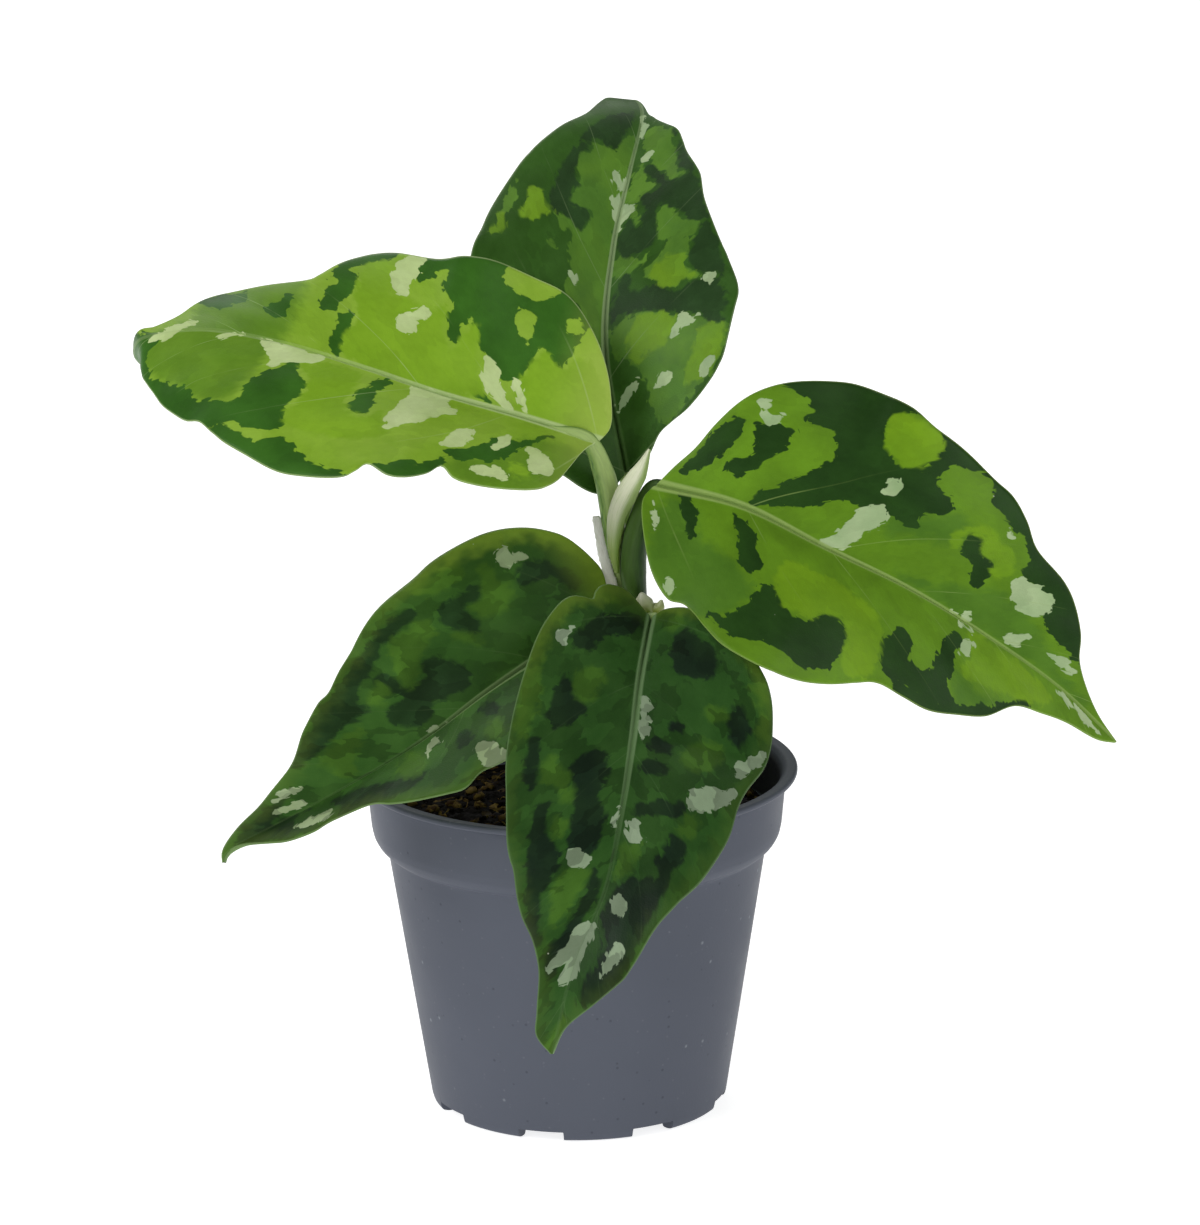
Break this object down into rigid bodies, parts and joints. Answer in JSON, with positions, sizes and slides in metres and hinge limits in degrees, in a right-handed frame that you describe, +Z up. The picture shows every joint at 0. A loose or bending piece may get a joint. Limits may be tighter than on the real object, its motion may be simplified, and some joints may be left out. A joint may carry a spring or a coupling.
{
  "type": "potted chinese evergreen",
  "caption": "Small potted foliage plant with broad pointed camouflage-patterned leaves on short stalks, in a tapered grey plastic nursery pot of dark peat.",
  "frame": {"origin": "on the pot's axis, on the surface the pot stands on", "axes": "+Z up along the pot's axis, -Y towards the viewer of the picture, +X to that viewer's right"},
  "size_m": [0.1324, 0.1036, 0.1294],
  "materials": {
    "pot_plastic": "injection-moulded grey-blue plastic, satin, with fine specks",
    "peat": "moist dark peat with bark crumbs and fibres",
    "stem_tissue": "fleshy green cane with leaf scars, pale roots below",
    "petiole_tissue": "smooth green leaf stalk",
    "sheath_tissue": "cream membranous wing of a stalk",
    "dry_sheath_tissue": "dry papery leaf sheath",
    "bud_tissue": "pale axillary bud",
    "young_leaf": "glossy leaf, light green with dark green and silver patches",
    "mature_leaf": "glossy leaf, dark green with mid green and silver patches",
    "old_leaf": "glossy leaf, deep green mottling with silver patches"
  },
  "bodies": {
    "root": {"pot": "pot_plastic", "soil": "peat", "stem": "stem_tissue", "petiole_back": "petiole_tissue", "leaf_back": "mature_leaf", "petiole_left": "petiole_tissue", "leaf_left": "young_leaf", "petiole_right": "petiole_tissue", "leaf_right": "young_leaf", "petiole_low": "petiole_tissue", "leaf_low": "old_leaf", "petiole_front": "petiole_tissue", "leaf_front": "old_leaf", "petiole_sheath": "sheath_tissue", "dry_sheath": "dry_sheath_tissue", "bud": "bud_tissue"}
  },
  "joints": []
}
